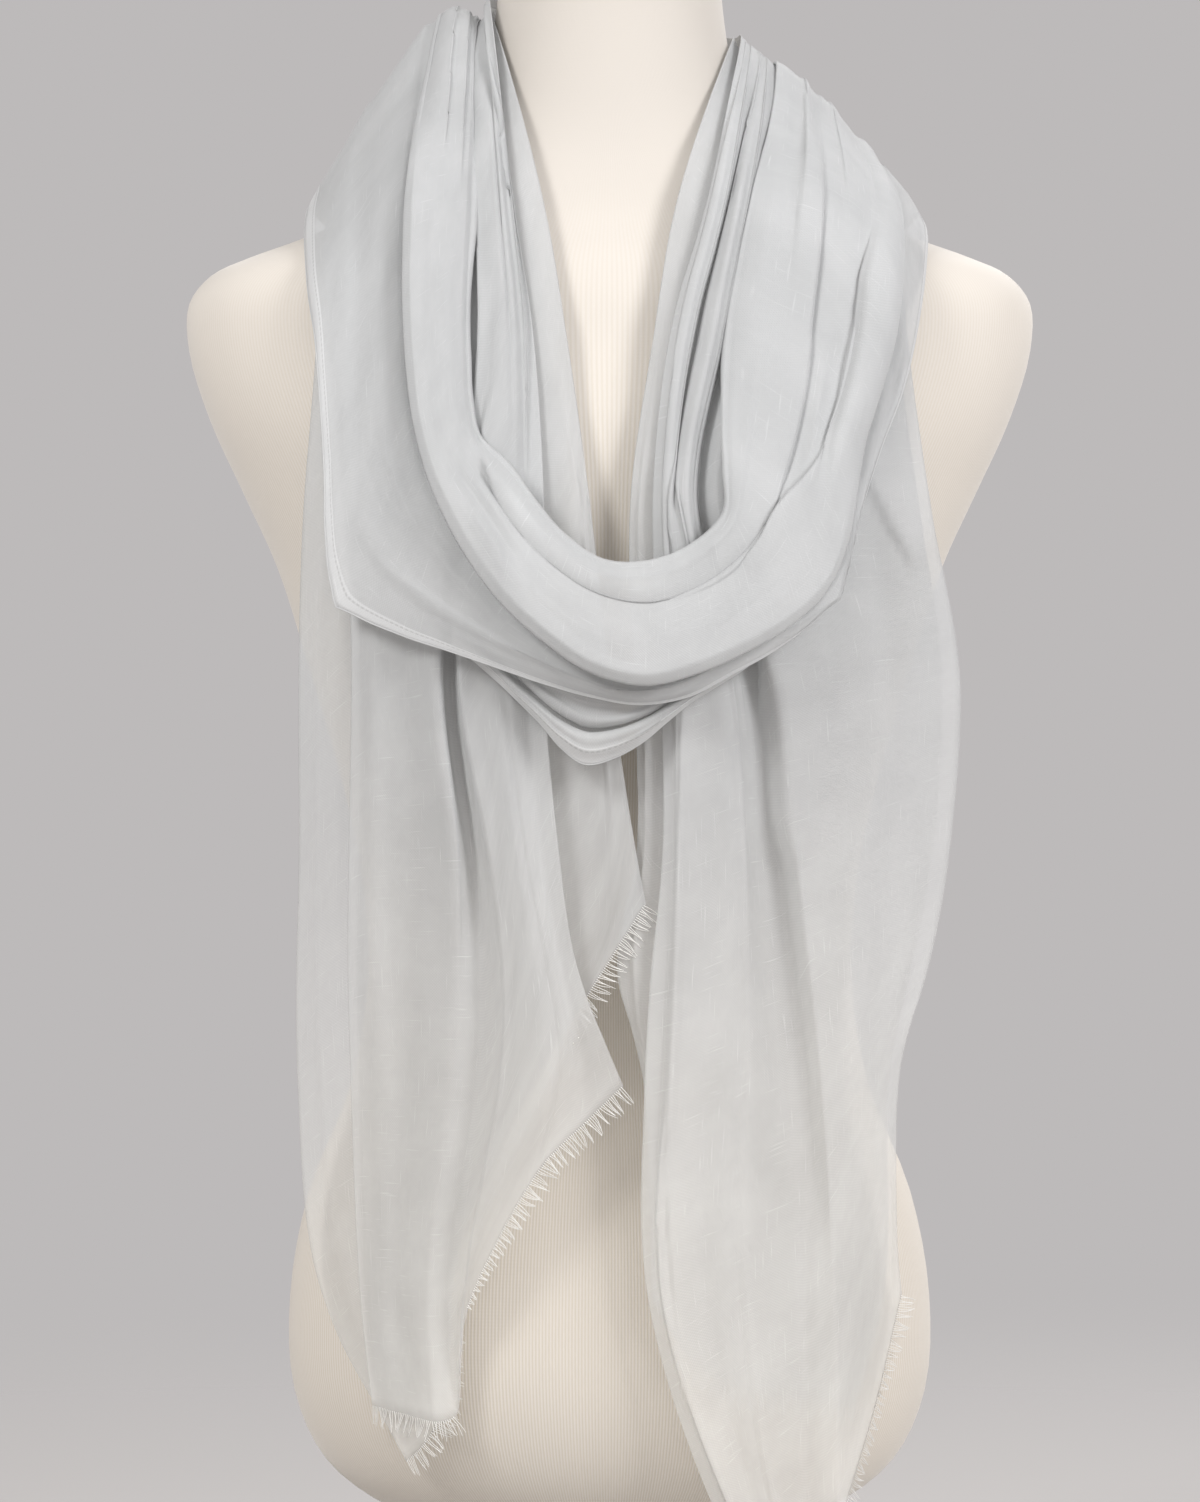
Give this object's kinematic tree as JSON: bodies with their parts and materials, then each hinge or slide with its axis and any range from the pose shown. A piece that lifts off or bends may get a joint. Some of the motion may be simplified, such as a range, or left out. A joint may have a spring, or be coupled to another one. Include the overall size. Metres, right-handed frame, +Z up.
{
  "type": "looped scarf on a limbless dress form",
  "caption": "Light gauze scarf looped once round the neck of a limbless dress form, with both fringed ends hanging in front, on a round stand.",
  "frame": {"origin": "centre of the stand base's underside", "axes": "+Z up along the form; the front of the form and the scarf's loop face -Y; +X to the viewer's right from the front"},
  "size_m": [0.4, 0.3093, 0.838],
  "materials": {
    "gauze": "light dove-grey sheer plain-weave gauze, matt with a faint sheen",
    "fringe": "frayed gauze threads",
    "jersey": "cream fine-rib knitted jersey stretched over a hard form",
    "stand": "plain brushed steel"
  },
  "bodies": {
    "root": {"front_loop": "gauze", "loop_under_fold": "gauze", "left_tail_front": "gauze", "left_tail_back": "gauze", "right_tail_front": "gauze", "right_tail_back": "gauze", "nape_outer": "gauze", "nape_inner": "gauze", "fringe_left_front": "fringe", "fringe_left_corner": "fringe", "fringe_left_back": "fringe", "fringe_right_front": "fringe", "fringe_right_back": "fringe", "dress_form": "jersey", "stand_post": "stand", "stand_base": "stand"}
  },
  "joints": []
}
